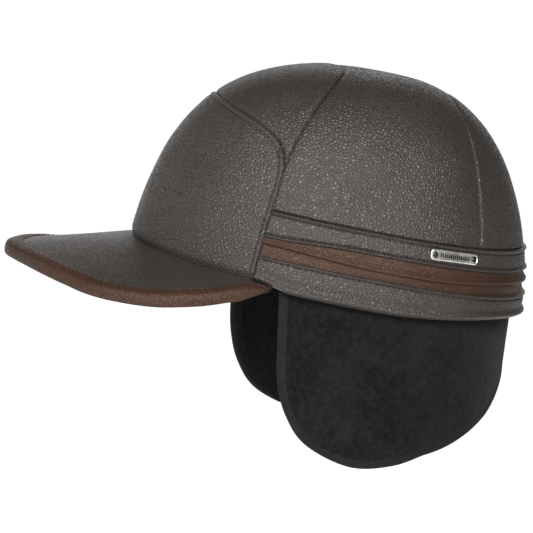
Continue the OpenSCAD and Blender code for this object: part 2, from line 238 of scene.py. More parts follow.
def slab(name, outer, inner, material, closed=False, flip=False, smooth_angle=45):
    """A closed sheet between two grids of points."""
    rows, columns = outer.shape[:2]
    base = rows * columns
    vertices = np.concatenate([outer.reshape(-1, 3), inner.reshape(-1, 3)])
    faces = grid_faces(rows, columns, 0, closed, flip)
    faces += grid_faces(rows, columns, base, closed, not flip)
    faces += rim_faces(rows, columns, base, closed, flip)
    return new_object(name, vertices, faces, material, smooth_angle)


def join_parts(name, parts, material, smooth_angle=60):
    """One object from a list of (vertices, faces)."""
    vertices, faces, base = [], [], 0
    for points, own in parts:
        vertices.append(points)
        faces += [tuple(i + base for i in f) for f in own]
        base += len(points)
    return new_object(name, np.concatenate(vertices), faces, material, smooth_angle)


def resample(line, step):
    """A polyline with points every step."""
    line = np.asarray(line, float)
    length = np.concatenate([[0], np.cumsum(np.linalg.norm(np.diff(line, axis=0), axis=1))])
    count = max(2, int(round(length[-1] / step)) + 1)
    at = np.linspace(0, length[-1], count)
    return np.stack([np.interp(at, length, line[:, k]) for k in range(3)], -1)


def distance_to(points, line):
    """Distance of each point from a polyline."""
    dense = resample(line, 0.4 * MM)
    tree = kdtree.KDTree(len(dense))
    for i, p in enumerate(dense):
        tree.insert(p, i)
    tree.balance()
    flat = points.reshape(-1, 3)
    return np.array([tree.find(p)[2] for p in flat]).reshape(points.shape[:-1])


def wander(points, size, seed):
    """Smooth random numbers, about -1 to 1, that change over a distance of size."""
    flat = points.reshape(-1, 3) / size + 7.3 * seed
    return np.array([noise.noise(p) for p in flat]).reshape(points.shape[:-1])


STITCH_SIDES = 6
STITCH_RINGS = ((-1.0, 0.0), (-0.8, 0.7), (-0.3, 1.0), (0.3, 1.0), (0.8, 0.7), (1.0, 0.0))


def stitches(name, path, normals, material, length=2.3 * MM, gap=0.7 * MM, radius=0.24 * MM):
    """A row of thread stitches along a path, each a small bent capsule that dips at both ends."""
    dense = resample(path, 0.35 * MM)
    tree = kdtree.KDTree(len(path))
    for i, p in enumerate(path):
        tree.insert(p, i)
    tree.balance()
    pitch = max(2, int(round((length + gap) / (0.35 * MM))))
    parts = []
    for i in range(0, len(dense) - pitch, pitch):
        a, b = dense[i], dense[i + pitch]
        ahead = unit(b - a)
        up = normals[tree.find(a)[1]]
        side = unit(np.cross(ahead, up))
        centre = (a + b) / 2
        vertices = []
        for reach, girth in STITCH_RINGS:
            middle = centre + ahead * reach * length / 2 - up * radius * 1.3 * reach**4
            for k in range(STITCH_SIDES):
                angle = 2 * math.pi * k / STITCH_SIDES
                out = math.cos(angle) * side + math.sin(angle) * up
                vertices.append(middle + out * radius * max(girth, 0.15))
        rings = len(STITCH_RINGS)
        faces = [
            (
                r * STITCH_SIDES + k,
                r * STITCH_SIDES + (k + 1) % STITCH_SIDES,
                (r + 1) * STITCH_SIDES + (k + 1) % STITCH_SIDES,
                (r + 1) * STITCH_SIDES + k,
            )
            for r in range(rings - 1)
            for k in range(STITCH_SIDES)
        ]
        faces.append(tuple(range(STITCH_SIDES))[::-1])
        faces.append(tuple((rings - 1) * STITCH_SIDES + k for k in range(STITCH_SIDES)))
        parts.append((np.array(vertices), faces))
    return join_parts(name, parts, material)


def lie_on(line, normals, cover, level):
    """A line let down along its normals onto a piece's outer surface."""
    tree = bvhtree.BVHTree.FromPolygons(
        [v.co for v in cover.data.vertices], [tuple(f.vertices) for f in cover.data.polygons]
    )
    rows = []
    for point, normal in zip(line, normals):
        start = Vector(point + normal * 5 * MM)
        hit = tree.ray_cast(start, Vector(-normal), 10 * MM)[0]
        rows.append(point if hit is None else np.array(hit))
    return np.array(rows) + normals * level


# ---------------------------------------------------------------- materials


class Nodes:
    """Short hand for a material's node tree."""

    def __init__(self, name):
        self.material = bpy.data.materials.new(name)
        self.material.use_nodes = True
        self.tree = self.material.node_tree
        self.shader = self.tree.nodes["Principled BSDF"]
        self.place = self.add("ShaderNodeTexCoord").outputs["Object"]

    def add(self, kind, **settings):
        node = self.tree.nodes.new(kind)
        for key, value in settings.items():
            setattr(node, key, value)
        return node

    def link(self, a, b):
        self.tree.links.new(a, b)

    def noise(self, scale, detail=4.0, roughness=0.55, distortion=0.0):
        node = self.add("ShaderNodeTexNoise")
        node.inputs["Scale"].default_value = scale
        node.inputs["Detail"].default_value = detail
        node.inputs["Roughness"].default_value = roughness
        node.inputs["Distortion"].default_value = distortion
        self.link(self.place, node.inputs["Vector"])
        return node.outputs["Fac"]

    def cells(self, scale, feature="DISTANCE_TO_EDGE", vector=None):
        node = self.add("ShaderNodeTexVoronoi", feature=feature)
        node.inputs["Scale"].default_value = scale
        self.link(vector or self.place, node.inputs["Vector"])
        return node.outputs["Distance"]

    def warped(self, scale, amount):
        """Object coordinates moved about by noise, so that cells come out uneven."""
        node = self.add("ShaderNodeTexNoise")
        node.inputs["Scale"].default_value = scale
        node.inputs["Detail"].default_value = 2.0
        self.link(self.place, node.inputs["Vector"])
        shift = self.add("ShaderNodeVectorMath", operation="MULTIPLY_ADD")
        self.link(node.outputs["Color"], shift.inputs[0])
        shift.inputs[1].default_value = (amount, amount, amount)
        self.link(self.place, shift.inputs[2])
        return shift.outputs[0]

    def remap(self, value, a, b, c, d, smooth=False):
        node = self.add("ShaderNodeMapRange", interpolation_type="SMOOTHSTEP" if smooth else "LINEAR")
        for k, number in enumerate((a, b, c, d)):
            node.inputs[k + 1].default_value = number
        self.link(value, node.inputs[0])
        return node.outputs[0]

    def math(self, operation, a, b):
        node = self.add("ShaderNodeMath", operation=operation)
        for k, value in enumerate((a, b)):
            if isinstance(value, (int, float)):
                node.inputs[k].default_value = value
            else:
                self.link(value, node.inputs[k])
        return node.outputs[0]

    def blend(self, share, a, b):
        node = self.add("ShaderNodeMix", data_type="RGBA")
        self.link(share, node.inputs["Factor"])
        for key, value in (("A", a), ("B", b)):
            socket = [s for s in node.inputs if s.name == key and s.type == "RGBA"][0]
            if isinstance(value, tuple):
                socket.default_value = (*value, 1)
            else:
                self.link(value, socket)
        return [s for s in node.outputs if s.type == "RGBA"][0]

    def raise_by(self, height, distance, strength=1.0, under=None):
        node = self.add("ShaderNodeBump")
        node.inputs["Strength"].default_value = strength
        node.inputs["Distance"].default_value = distance
        self.link(height, node.inputs["Height"])
        if under is not None:
            self.link(under, node.inputs["Normal"])
        return node.outputs["Normal"]

    def finish(self, colour, normal=None, roughness=0.5, **values):
        self.link(colour, self.shader.inputs["Base Color"])
        if normal is not None:
            self.link(normal, self.shader.inputs["Normal"])
        if isinstance(roughness, (int, float)):
            self.shader.inputs["Roughness"].default_value = roughness
        else:
            self.link(roughness, self.shader.inputs["Roughness"])
        for key, value in values.items():
            self.shader.inputs[key.replace("_", " ")].default_value = value
        return self.material


def pebbled_leather(name, dark, light, pebble=1.75 * MM, depth=0.25 * MM, gloss=0.44,
                    tint=(1.0, 0.93, 0.87), shine=0.42):
    """Leather with a raised pebble grain, fine pores and slow changes of colour, with painted shade darkening
    the creases between the pebbles.
    """
    n = Nodes(name)
    moved = n.warped(260, 0.8 * MM)
    edge = n.cells(1 / pebble, vector=moved)
    dome = n.remap(edge, 0.0, 0.42, 0.0, 1.0, smooth=True)
    fine = n.cells(1 / (0.55 * MM), vector=moved)
    fine_dome = n.remap(fine, 0.0, 0.3, 0.0, 1.0, smooth=True)
    crease = n.remap(edge, 0.0, 0.14, 0.0, 1.0, smooth=True)
    patches = n.noise(28, 3)
    tone = n.remap(patches, 0.3, 0.7, 0.0, 1.0)
    colour = n.blend(tone, dark, light)
    # Painted shade: the creases between the pebbles take a quarter of the dark tone.
    crease_shaded_colour = n.blend(crease, tuple(0.25 * c for c in dark), colour)
    first = n.raise_by(fine_dome, 0.03 * MM, 0.25)
    normal = n.raise_by(dome, depth, 1.0, under=first)
    rough = n.remap(n.math("MULTIPLY", crease, n.noise(420, 2)), 0.1, 0.7, gloss + 0.25, gloss - 0.03)
    n.shader.inputs["Specular Tint"].default_value = (*tint, 1)
    return n.finish(crease_shaded_colour, normal, rough, Specular_IOR_Level=shine)


def fleece_cloth(name, dark, light):
    """Short dense pile, a little clumped."""
    n = Nodes(name)
    clumps = n.noise(330, 5, 0.7)
    pile = n.noise(1900, 3, 0.7)
    slow = n.noise(45, 2)
    tone = n.remap(n.math("ADD", clumps, n.math("MULTIPLY", slow, 0.5)), 0.55, 1.0, 0.0, 1.0)
    colour = n.blend(tone, dark, light)
    first = n.raise_by(pile, 0.25 * MM, 0.8)
    normal = n.raise_by(clumps, 0.9 * MM, 0.7, under=first)
    n.shader.inputs["Sheen Tint"].default_value = (0.75, 0.75, 0.78, 1)
    return n.finish(colour, normal, 0.95, Sheen_Weight=0.04, Sheen_Roughness=0.5,
                    Specular_IOR_Level=0.08)


def woven_cloth(name, dark, light, pitch=0.5 * MM, sheen=0.15, rough=0.85):
    """Plain weave: two sets of fine ridges with some fuzz."""
    n = Nodes(name)
    waves = []
    for axis in ("X", "Z"):
        wave = n.add("ShaderNodeTexWave", bands_direction=axis)
        wave.inputs["Scale"].default_value = 1 / (pitch * 20)
        wave.inputs["Distortion"].default_value = 1.5
        wave.inputs["Detail"].default_value = 1.0
        n.link(n.place, wave.inputs["Vector"])
        waves.append(wave.outputs["Fac"])
    weave = n.math("MAXIMUM", *waves)
    colour = n.blend(n.remap(n.noise(240, 3), 0.3, 0.7, 0, 1), dark, light)
    normal = n.raise_by(weave, 0.12 * MM, 0.6)
    return n.finish(colour, normal, rough, Sheen_Weight=sheen, Specular_IOR_Level=0.12)


def satin_cloth(name, dark, light):
    n = Nodes(name)
    colour = n.blend(n.remap(n.noise(60, 3), 0.3, 0.7, 0, 1), dark, light)
    normal = n.raise_by(n.noise(1500, 2), 0.05 * MM, 0.4)
    return n.finish(colour, normal, 0.38, Anisotropic=0.5, Specular_IOR_Level=0.6)


def thread(name, dark, light):
    n = Nodes(name)
    twist = n.noise(2600, 2)
    colour = n.blend(n.remap(twist, 0.3, 0.7, 0, 1), dark, light)
    return n.finish(colour, n.raise_by(twist, 0.08 * MM, 0.6), 0.75, Specular_IOR_Level=0.2)


def worn_metal(name, dark, light):
    """Brushed nickel with fine lines and a few dull patches."""
    n = Nodes(name)
    stretch = n.add("ShaderNodeMapping")
    stretch.inputs["Scale"].default_value = (1.0, 0.08, 1.0)
    n.link(n.place, stretch.inputs["Vector"])
    lines = n.add("ShaderNodeTexNoise")
    lines.inputs["Scale"].default_value = 5200
    lines.inputs["Detail"].default_value = 3
    n.link(stretch.outputs[0], lines.inputs["Vector"])
    wear = n.noise(420, 4)
    colour = n.blend(n.remap(wear, 0.35, 0.7, 0, 1), dark, light)
    rough = n.remap(wear, 0.3, 0.75, 0.28, 0.5)
    normal = n.raise_by(lines.outputs["Fac"], 0.02 * MM, 0.5)
    return n.finish(colour, normal, rough, Metallic=1.0)


# Every pebbled leather below carries painted shade in the creases of its grain.
BLACK_LEATHER = pebbled_leather("black_leather", (0.0160, 0.0130, 0.0112), (0.0245, 0.0200, 0.0172))
BRIM_LEATHER = pebbled_leather(
    "brim_leather", (0.0160, 0.0130, 0.0112), (0.0230, 0.0188, 0.0162), 1.25 * MM, 0.14 * MM, 0.46
)
STRIP_LEATHER = pebbled_leather(
    "strip_leather", (0.0160, 0.0130, 0.0112), (0.0245, 0.0200, 0.0172), 1.6 * MM, 0.22 * MM, 0.44
)
BROWN_LEATHER = pebbled_leather(
    "brown_leather", (0.020, 0.0075, 0.0036), (0.034, 0.0140, 0.0072), 1.3 * MM, 0.15 * MM, 0.48,
    (1.0, 0.80, 0.68), 0.34,
)
SWEATBAND_LEATHER = pebbled_leather(
    "sweatband_leather", (0.020, 0.018, 0.017), (0.030, 0.027, 0.025), 0.8 * MM, 0.06 * MM, 0.42
)
FLEECE = fleece_cloth("fleece", (0.0012, 0.0012, 0.0013), (0.0080, 0.0080, 0.0082))
TAPE = woven_cloth("edge_tape", (0.0040, 0.0041, 0.0034), (0.0070, 0.0072, 0.0060), sheen=0.02)
SATIN = satin_cloth("satin_lining", (0.016, 0.016, 0.018), (0.030, 0.030, 0.033))
LABEL = woven_cloth("label_cloth", (0.25, 0.24, 0.22), (0.36, 0.35, 0.33))
FELT = woven_cloth("stiffener", (0.50, 0.49, 0.46), (0.62, 0.61, 0.58), 0.8 * MM)
BOARD = woven_cloth("brim_board", (0.42, 0.40, 0.37), (0.52, 0.50, 0.47), 1.2 * MM)
BLACK_THREAD = thread("black_thread", (0.0030, 0.0027, 0.0026), (0.0080, 0.0075, 0.0070))
# The rear seam's stitches are real thread; their light grey colour is a painted highlight standing in for
# their glint.
GLINT_PAINTED_THREAD = thread("glint_painted_thread", (0.030, 0.026, 0.023), (0.075, 0.066, 0.060))
BROWN_THREAD = thread("brown_thread", (0.045, 0.022, 0.016), (0.11, 0.060, 0.045))
METAL = worn_metal("badge_metal", (0.44, 0.43, 0.41), (0.66, 0.65, 0.62))
DARK_METAL = worn_metal("badge_dark", (0.020, 0.019, 0.018), (0.045, 0.043, 0.041))


def piece(obj, body, slot, *nodes):
    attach(obj, body)
    if nodes:
        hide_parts(*nodes)
    return obj


# ---------------------------------------------------------------- crown panels

FRONT_TOP_RISE = 49
FRONT_CORNER_POWER = 8
BRIM_SEAM_END = -1.0 * MM
BRIM_SEAM_MIDDLE = 0.3 * MM
TIP_TURN = 49
FRONT_SEAM_TOP = np.array((0, -15, 110)) * MM
REAR_SEAM_TOP = np.array((0, 45, 106)) * MM
REAR_FOOT_TURN = 34
REAR_SEAM_FOOT = at_height(REAR_FOOT_TURN, BAND_TOP)
FRONT_SEAM_BEND = 2.2
REAR_SEAM_BEND = 2
SIDE_FOOT_TURN = -SEAM_TURN - 0.3
TOP_SHARE = 0.62


def brim_seam_z(turn):
    share = ramp(0, 1, 1 - np.abs(turn + 90) / (90 - SEAM_TURN))
    return mix(BRIM_SEAM_END, BRIM_SEAM_MIDDLE, share)


def front_point(s, t):
    turn = -90 + (90 - SEAM_TURN) * s
    low = climb(at_height(turn, brim_seam_z(turn)))
    return toward(turn, mix(low, FRONT_TOP_RISE, t))


def drawn_in(s, t):
    """How far a square's point is drawn in, so that its corners come out round."""
    m = np.maximum(np.maximum(np.abs(s), np.abs(t)), 1e-9)
    power = FRONT_CORNER_POWER
    return ((np.abs(s) / m) ** power + (np.abs(t) / m) ** power) ** (-1 / power)


def front_edge(turn):
    a = np.radians(turn)
    s, t = np.sin(a), np.cos(a)
    k = drawn_in(s, t) / np.maximum(np.abs(s), np.abs(t))
    return front_point(s * k, t * k)


TIP = on_crown(front_edge(np.array(TIP_TURN)))
SIDE_FOOT = at_height(SIDE_FOOT_TURN, BAND_TOP)


def quarter(w, foot, top, bend):
    """A seam over the crown, from its centre top at w = 0 to its foot at w = 1."""
    a = np.pi / 2 * w
    c = np.maximum(np.cos(a), 0)
    return np.stack(
        [
            foot[0] * np.sin(a),
            mix(foot[1], top[1], c**bend),
            mix(foot[2], top[2], c),
        ],
        -1,
    )


def mirrored(p, w):
    """The left half's points, reflected where w is negative."""
    sign = np.where(w < 0, -1.0, 1.0)
    return p * np.stack([sign, 1 + 0 * sign, 1 + 0 * sign], -1)


def over_seam(w):
    return mirrored(quarter(np.abs(w), TIP, FRONT_SEAM_TOP, FRONT_SEAM_BEND), w)


def back_seam(w):
    return mirrored(quarter(np.abs(w), REAR_SEAM_FOOT, REAR_SEAM_TOP, REAR_SEAM_BEND), w)


def side_front_edge(w):
    a = np.abs(w)
    upper = quarter(np.minimum(a / TOP_SHARE, 1), TIP, FRONT_SEAM_TOP, FRONT_SEAM_BEND)
    knee = [TIP, on_crown(mix(TIP, SIDE_FOOT, 0.5)), SIDE_FOOT]
    lower = along(knee, (a - TOP_SHARE) / (1 - TOP_SHARE))
    return mirrored(np.where((a < TOP_SHARE)[..., None], upper, lower), w)


def side_patch(u, v):
    foot = at_height(mix(SIDE_FOOT_TURN, REAR_FOOT_TURN, v), BAND_TOP)
    other = foot * np.array((-1, 1, 1))
    share = ((u + 1) / 2)[..., None]
    across = np.array((-1, 1, 1))
    corner_a = mix(SIDE_FOOT * across, SIDE_FOOT, share)
    corner_b = mix(REAR_SEAM_FOOT * across, REAR_SEAM_FOOT, share)
    v = v[..., None]
    return mix(side_front_edge(u), back_seam(u), v) + mix(other, foot, share) - mix(
        corner_a, corner_b, v
    )


# Kinds of panel edge: how the surface rises and falls with distance from it
STITCH_IN = 3.2 * MM


def plain_edge(d):
    return -0.75 * MM * bump(d, 0, 0.6 * MM) - 0.25 * MM * bump(d, 0, 2.4 * MM)


def stitched_edge(d):
    roll = 0.45 * MM * bump(d, 1.5 * MM, 1.1 * MM)
    return plain_edge(d) + roll - 0.34 * MM * bump(d, STITCH_IN, 0.7 * MM)


def rolled_edge(d):
    return -2.1 * MM * (1 - ramp(0, 7 * MM, d)) ** 1.6 - 0.4 * MM * bump(d, 0, 1.2 * MM)


def covered_edge(d):
    """An edge that goes under the next strip."""
    return -1.0 * MM * (1 - ramp(0, 1.1 * MM, d))


def leather_panel(name, points, edges, material, seed, proud=0.0, soft=0.5 * MM):
    """A crown panel. edges are the kinds of its first row, last row, first column, last column."""
    outer = on_crown(points)
    borders = [outer[0], outer[-1], outer[:, 0], outer[:, -1]]
    lift = proud + soft * wander(outer, 42 * MM, seed) + 0.3 * soft * wander(outer, 15 * MM, seed + 3)
    for border, kind in zip(borders, edges):
        lift = lift + kind(distance_to(outer, border))
    normal = crown_normal(outer)
    outer = outer + normal * lift[..., None]
    return slab(name, outer, outer - normal * LEATHER, material)


def seam_row(name, border, inward, material, cover, inset=STITCH_IN, level=0.05 * MM, **sizes):
    """Stitches on the crown that follow a border at a distance, on the side that inward points to."""
    line = resample(on_crown(border), 1.2 * MM)
    normal = crown_normal(line)
    ahead = unit(np.gradient(line, axis=0))
    side = np.cross(normal, ahead)
    side *= np.sign((side * (inward - line)).sum(-1).mean())
    row = on_crown(line + side * inset)
    row = lie_on(row, crown_normal(row), cover, level)
    return stitches(name, row, crown_normal(row), material, **sizes)


def make_front_panel():
    s, v = np.meshgrid(edge_dense(150, -1, 1), edge_dense(110), indexing="ij")
    k = drawn_in(s, v)
    points = front_point(s * k * 0.999, mix(-0.03, 1, v * k))
    panel = leather_panel(
        "front_panel_leather",
        points,
        (stitched_edge, stitched_edge, rolled_edge, stitched_edge),
        BLACK_LEATHER,
        1,
        proud=0.35 * MM,
        soft=0.7 * MM,
    )
    piece(panel, "cap", "black_leather", "front_panel")
    edge = front_edge(np.linspace(-89, 89, 400))
    row = seam_row("front_panel_stitches", edge, np.array((0, -0.09, 0.04)), BLACK_THREAD, panel)
    piece(row, "cap", "black_leather")


def make_upper_front_panel():
    w, v = np.meshgrid(edge_dense(130, -0.995, 0.995, 0.5), edge_dense(70, 0.002, 0.998),
                       indexing="ij")
    low = on_crown(front_edge(TIP_TURN * w))
    points = mix(low, over_seam(w), v[..., None])
    panel = leather_panel(
        "upper_front_leather", points, (plain_edge, plain_edge, plain_edge, plain_edge),
        BLACK_LEATHER, 2, proud=0.5 * MM,
    )
    piece(panel, "cap", "black_leather", "upper_front_panel")


def make_top_side_panel():
    u, v = np.meshgrid(edge_dense(230, -1, 1, 0.6), edge_dense(120, 0.001, 0.999), indexing="ij")
    panel = leather_panel(
        "top_side_leather", side_patch(u, v), (covered_edge, covered_edge, plain_edge, plain_edge),
        BLACK_LEATHER, 3,
    )
    piece(panel, "cap", "black_leather", "top_side_panel")
    row = seam_row("rear_seam_stitches", back_seam(np.linspace(-0.99, 0.99, 300)),
                   np.array((0, 0.0, 0.09)), GLINT_PAINTED_THREAD, panel, inset=1.3 * MM,
                   length=1.5 * MM, gap=1.0 * MM, radius=0.15 * MM)
    piece(row, "cap", "black_leather")


def make_back_panel():
    w, v = np.meshgrid(edge_dense(120, -0.997, 0.997, 0.5), edge_dense(70, 0.0, 0.998),
                       indexing="ij")
    low = at_height(90 - (90 - REAR_FOOT_TURN) * w, BAND_TOP)
    points = mix(low, back_seam(w), v[..., None])
    panel = leather_panel(
        "back_panel_leather", points, (plain_edge, plain_edge, covered_edge, plain_edge),
        BLACK_LEATHER, 4,
    )
    piece(panel, "cap", "black_leather", "back_panel")


# ---------------------------------------------------------------- band

INSERT_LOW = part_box("band_trim_strip")[0].z
INSERT_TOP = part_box("band_trim_strip")[1].z
INSERT_FRONT_TOP = 21.8 * MM
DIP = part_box("band_lower_strip")[0].z


def round_back(turn):
    """Distance of a direction from the centre back, folded so that both sides count alike."""
    return 90 - np.abs(turn - 90)


def band_foot(turn):
    back = round_back(turn)
    return DIP * (1 - ramp(-5, 55, back)) * mix(0.35, 1, ramp(-SEAM_TURN, 14 - SEAM_TURN, back))


def insert_edge(turn):
    return mix(INSERT_FRONT_TOP, INSERT_TOP, ramp(-SEAM_TURN, -SEAM_TURN / 3, round_back(turn)))


def ridge_level(turn):
    """The tuck starts near the insert's top at the front and sinks to its middle."""
    sunk = mix(20.0 * MM, 17.9 * MM, ramp(-SEAM_TURN, -5, round_back(turn)))
    return sunk + 1.8 * MM * ramp(10, 50, round_back(turn))


def strip_grid(low, high, rows, out, columns=420):
    """Points of a band strip: rows are shares of its height, and out gives how far each is out."""
    turn = np.linspace(-SEAM_TURN + 0.15, 180 + SEAM_TURN - 0.15, columns)
    turn, share = np.meshgrid(turn, rows, indexing="ij")
    z = mix(low(turn), high(turn), share)
    flat = at_height(turn, z)
    height = (high(turn) - low(turn)) * share
    rest = (high(turn) - low(turn)) * (1 - share)
    lift = out(turn, height, rest) + 0.25 * MM * wander(flat, 26 * MM, 5)
    return flat + crown_normal(flat) * lift[..., None], turn


def turned_edge(d, swell=1.05 * MM, stitch=2.3 * MM):
    """A folded and stitched edge: round outside, with a dip where the stitches pull it down."""
    fold = -1.3 * MM * bump(d, -0.1 * MM, 0.45 * MM)
    return fold + swell * bump(d, 0.95 * MM, 0.75 * MM) - 0.5 * MM * bump(d, stitch, 0.45 * MM)


def make_strip(name, low, high, out, material, slot, node, rows=64):
    outer, _ = strip_grid(low, high, edge_dense(rows, pull=0.7), out)
    inner = on_crown(outer, 1.55 * MM)
    return piece(slab(name, outer, inner, material), "cap", slot, node)


def level_row(name, level, cover, material, turns=(-SEAM_TURN + 1, 180 + SEAM_TURN - 1), **sizes):
    """Stitches around the band at a level that may change with direction."""
    turn = np.linspace(turns[0], turns[1], 500)
    flat = at_height(turn, level(turn))
    normal = crown_normal(flat)
    row = lie_on(flat, normal, cover, 0.05 * MM)
    piece(stitches(name, row, normal, material, **sizes), "cap", "black_leather")


def make_band():
    def flat_top(turn):
        return BAND_TOP + 0 * turn

    def flat_low(turn):
        return INSERT_LOW + 0 * turn

    def upper_out(turn, height, rest):
        return 0.75 * MM + turned_edge(height) + turned_edge(rest)

    def lower_out(turn, height, rest):
        roll = 1.15 * MM * bump(height, 2.2 * MM, 1.7 * MM) - 2.2 * MM * bump(height, -0.3 * MM, 1.1 * MM)
        pinch = -0.35 * MM * bump(height, 5.4 * MM, 1.6 * MM)
        belly = 0.35 * MM * np.sin(np.pi * np.clip(height / (height + rest), 0, 1))
        return 0.55 * MM + roll + pinch + belly + turned_edge(rest, 0.95 * MM)

    def insert_out(turn, height, rest):
        z = INSERT_LOW + height - ridge_level(turn)
        above = 1 - ramp(0.4 * MM, 4.4 * MM, z)
        below = ramp(-1.1 * MM, -0.4 * MM, z)
        lip = 0.35 * MM * bump(z, 0.5 * MM, 0.7 * MM)
        slack = 0.3 * MM * np.sin(np.radians(turn) * 7 + 2) * bump(z, -2.6 * MM, 1.6 * MM)
        return 1.45 * MM * above * below - 0.3 * MM + lip + slack

    upper = make_strip("band_upper_leather", insert_edge, flat_top, upper_out, STRIP_LEATHER,
               "black_leather", "band_upper_strip")
    lower = make_strip("band_lower_leather", band_foot, flat_low, lower_out, STRIP_LEATHER,
               "black_leather", "band_lower_strip", 80)
    make_strip("band_insert_leather", lambda t: flat_low(t) - 0.8 * MM,
               lambda t: insert_edge(t) + 0.8 * MM, insert_out, BROWN_LEATHER,
               "brown_leather", "band_trim_strip", 90)
    level_row("band_top_stitches", lambda t: BAND_TOP - 2.3 * MM + 0 * t, upper, BLACK_THREAD)
    level_row("band_mid_stitches", lambda t: insert_edge(t) + 2.3 * MM, upper, BLACK_THREAD)
    level_row("band_low_stitches", lambda t: INSERT_LOW - 2.3 * MM + 0 * t, lower, BLACK_THREAD)


# ---------------------------------------------------------------- brim

BRIM_REACH = -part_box("brim_board")[0].y
BRIM_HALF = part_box("brim_board")[1].x
BRIM_DROP = 16.7 * MM
BRIM_END_TURN = 5
BRIM_THICK = 4.7 * MM
BINDING_WIDTH = 8.5 * MM
BRIM_EDGE = np.array(
    [
        (0, -BRIM_REACH, -BRIM_DROP),
        (0.33 * BRIM_HALF, 7.5 * MM - BRIM_REACH, -BRIM_DROP - 0.4 * MM),
        (0.62 * BRIM_HALF, 21 * MM - BRIM_REACH, -BRIM_DROP - 1.7 * MM),
        (0.85 * BRIM_HALF, 38.5 * MM - BRIM_REACH, -BRIM_DROP - 3.2 * MM),
        (0.98 * BRIM_HALF, 64.5 * MM - BRIM_REACH, -BRIM_DROP - 1.6 * MM),
        (BRIM_HALF, 89.5 * MM - BRIM_REACH, 3.2 * MM - BRIM_DROP),
        (0.97 * BRIM_HALF, 109 * MM - BRIM_REACH, 8.6 * MM - BRIM_DROP),
        (0.925 * BRIM_HALF, 127 * MM - BRIM_REACH, 12.4 * MM - BRIM_DROP),
    ]
)
BRIM_OUTLINE = np.concatenate([(BRIM_EDGE * np.array((-1, 1, 1)))[:0:-1], BRIM_EDGE])


def brim_edge(w):
    return along(BRIM_OUTLINE, (w + 1) / 2)


def brim_root(w, depth=0.0):
    turn = -90 + (90 - SEAM_TURN + BRIM_END_TURN) * w
    low = 1 * MM + 1.2 * MM * ramp(0.85, 1, np.abs(w))
    return at_height(turn, brim_seam_z(turn) - low, depth)


def brim_taper(w):
    """The brim thins out where its ends go under the band."""
    return mix(1, 0.3, ramp(0.86, 1, np.abs(w)))


def brim_point(w, v):
    return mix(brim_root(w, LEATHER), brim_edge(w), v[..., None])


def brim_width(w):
    return np.linalg.norm(brim_edge(w) - brim_root(w, LEATHER), axis=-1)


def binding_reach(w):
    return np.minimum(BINDING_WIDTH, 0.8 * brim_width(w))


def make_brim_cover(name, top, bottom, material, slot, node, seed):
    w, v = np.meshgrid(edge_dense(200, -1, 1, 0.3), np.linspace(0, 1, 60), indexing="ij")
    width = brim_width(w)
    points = brim_point(w, mix(-2.4 * MM / width, 1 - 0.4 * MM / width, v))
    points = points + UP * (0.3 * MM * wander(points, 34 * MM, seed))[..., None]
    down = UP * brim_taper(w)[..., None]
    piece(slab(name, points - down * top, points - down * bottom, material), "cap", slot, node)


def make_binding():
    """The brown channel around the brim: padded, with its inner edges pulled down by stitches."""
    w = np.linspace(-0.985, 0.985, 360)
    width, reach = brim_width(w), binding_reach(w)
    edge = brim_edge(w)
    angle = np.linspace(-0.5, 0.5, 9)[1:-1] * np.pi
    shares = np.array((1, 0.985, 0.93, 0.84, 0.72, 0.56, 0.4, 0.25, 0.12))
    swell = np.array((-0.5, 0.2, 0.15, 0.75, 1.15, 1.35, 1.35, 1.25, 1.1)) * MM
    taper = brim_taper(w)[:, None]
    half = BRIM_THICK / 2
    pucker = 0.12 * MM * np.sin(np.arange(len(w)) * 2 * np.pi / 5.5)
    rows = []
    for share, out in zip(shares, swell):
        at = brim_point(w, 1 - reach * share / width)
        rows.append(at + UP * taper * (out + pucker * (share > 0.6))[:, None])
    inward = brim_point(w, 1 - reach * 0.3 / width)
    away = unit(edge - inward)
    for a in angle[::-1]:
        level = half * math.sin(a) - half + 0.95 * MM * math.sin(a)
        rows.append(edge + taper * (away * 1.25 * MM * math.cos(a) + UP * level))
    for share, out in zip(shares[::-1], swell[::-1]):
        at = brim_point(w, 1 - reach * share / width)
        rows.append(at - UP * taper * (BRIM_THICK + 0.7 * out + 0.15 * MM))
    outer = np.stack(rows, 1)
    outer = outer + unit(np.cross(np.gradient(outer, axis=1), np.gradient(outer, axis=0))) * (
        0.18 * MM * wander(outer, 12 * MM, 8)
    )[..., None]
    core = edge - taper * (away * 2 * MM + UP * half)
    inner = mix(outer, core[:, None, :], 0.16)
    count = len(shares)
    skin = UP * 0.75 * MM * taper[:, :, None]
    inner[:, :count] = outer[:, :count] - skin
    inner[:, -count:] = outer[:, -count:] + skin
    piece(slab("brim_binding_leather", outer, inner, BROWN_LEATHER, flip=True), "cap",
          "brown_leather", "brim_binding")
    inset = brim_point(w, 1 - reach * 0.90 / width) + UP * 0.38 * MM
    row = stitches("brim_binding_stitches", inset, np.broadcast_to(UP, inset.shape), BROWN_THREAD,
                   length=1.9 * MM, gap=0.9 * MM)
    piece(row, "cap", "brown_leather")


def make_brim():
    make_brim_cover("brim_top_leather", 0, 1.2 * MM, BRIM_LEATHER, "black_leather",
                    "brim_top_cover", 11)
    make_brim_cover("brim_under_leather", 3.4 * MM, BRIM_THICK, BRIM_LEATHER, "black_leather",
                    "brim_under_cover", 12)
    make_binding()


# ---------------------------------------------------------------- ear and neck strip

